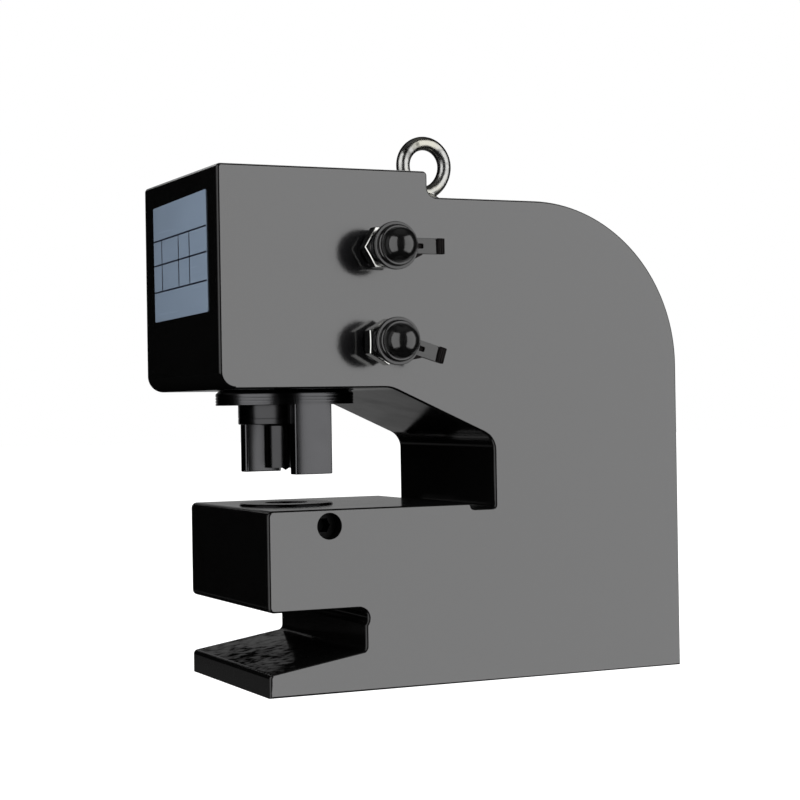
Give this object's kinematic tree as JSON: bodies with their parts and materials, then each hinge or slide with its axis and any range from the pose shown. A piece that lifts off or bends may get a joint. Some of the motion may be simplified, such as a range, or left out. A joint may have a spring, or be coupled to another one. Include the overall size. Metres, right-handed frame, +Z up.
{
  "type": "hydraulic plate punch",
  "caption": "Bench hydraulic plate punch: a thick steel C-frame with a double-acting ram, punch, slotted stripper, die, slug slot, capped hose couplers and a lifting eye.",
  "frame": {"origin": "on the base plane, straight below the axis of the punch and ram", "axes": "+X runs from the punch axis to the closed back of the frame, +Z is up along the ram, and the two hose couplers are on the -Y side"},
  "size_m": [0.4572, 0.2688, 0.5044],
  "materials": {
    "frame_paint": "dark grey to black gloss paint over flame-cut steel plate",
    "black_steel": "blackened steel, satin",
    "tool_steel": "hardened tool steel, dark oxide with ground faces",
    "machined_steel": "machined steel",
    "polished_rod": "hard chromed and polished",
    "bronze": "bearing bronze",
    "seal_rubber": "moulded seal",
    "zinc_steel": "zinc plated steel",
    "coupler_steel": "plated steel, bright edges",
    "spring_steel": "spring wire",
    "cap_rubber": "glossy black moulded cap",
    "plate_sheet": "thin printed sheet, blue grey with dark ruling, no words"
  },
  "bodies": {
    "frame": {"c_frame": "frame_paint", "gland_nut": "black_steel", "gland_o_ring": "seal_rubber", "rod_seal": "seal_rubber", "rod_guide_ring": "bronze", "rod_wiper": "seal_rubber", "stripper_sleeve": "black_steel", "port_washers": "zinc_steel", "upper_adapter": "zinc_steel", "lower_adapter": "zinc_steel", "upper_coupler_body": "coupler_steel", "lower_coupler_body": "coupler_steel", "upper_poppet_spring": "spring_steel", "lower_poppet_spring": "spring_steel", "eye_bolt": "zinc_steel", "data_plate": "plate_sheet"},
    "ram_unit": {"piston": "machined_steel", "piston_seal": "seal_rubber", "piston_wear_ring": "bronze", "piston_nut": "machined_steel", "ram": "polished_rod", "punch_nut": "black_steel", "punch": "tool_steel"},
    "die": {"die": "tool_steel"},
    "set_screw": {"die_set_screw": "black_steel"},
    "upper_poppet": {"upper_poppet": "machined_steel"},
    "lower_poppet": {"lower_poppet": "machined_steel"},
    "upper_cap": {"upper_dust_cap": "cap_rubber"},
    "lower_cap": {"lower_dust_cap": "cap_rubber"}
  },
  "joints": [
    {"name": "ram_slide", "type": "slide", "parent": "frame", "child": "ram_unit", "axis": [0, 0, -1], "range_m": [0, 0.04]},
    {"name": "die_lift", "type": "slide", "parent": "frame", "child": "die", "axis": [0, 0, 1], "range_m": [0, 0.03]},
    {"name": "set_screw_back_out", "type": "slide", "parent": "frame", "child": "set_screw", "axis": [0, -1, 0], "range_m": [0, 0.012]},
    {"name": "upper_cap_pull", "type": "slide", "parent": "frame", "child": "upper_cap", "axis": [0, -1, 0], "range_m": [0, 0.03]},
    {"name": "lower_cap_pull", "type": "slide", "parent": "frame", "child": "lower_cap", "axis": [0, -1, 0], "range_m": [0, 0.03]},
    {"name": "upper_poppet_press", "type": "slide", "parent": "frame", "child": "upper_poppet", "axis": [0, 1, 0], "range_m": [0, 0.004], "stiffness_N_per_m": 1500, "springref_m": -0.004, "deforming": ["upper_poppet_spring"]},
    {"name": "lower_poppet_press", "type": "slide", "parent": "frame", "child": "lower_poppet", "axis": [0, 1, 0], "range_m": [0, 0.004], "stiffness_N_per_m": 1500, "springref_m": -0.004, "deforming": ["lower_poppet_spring"]}
  ]
}
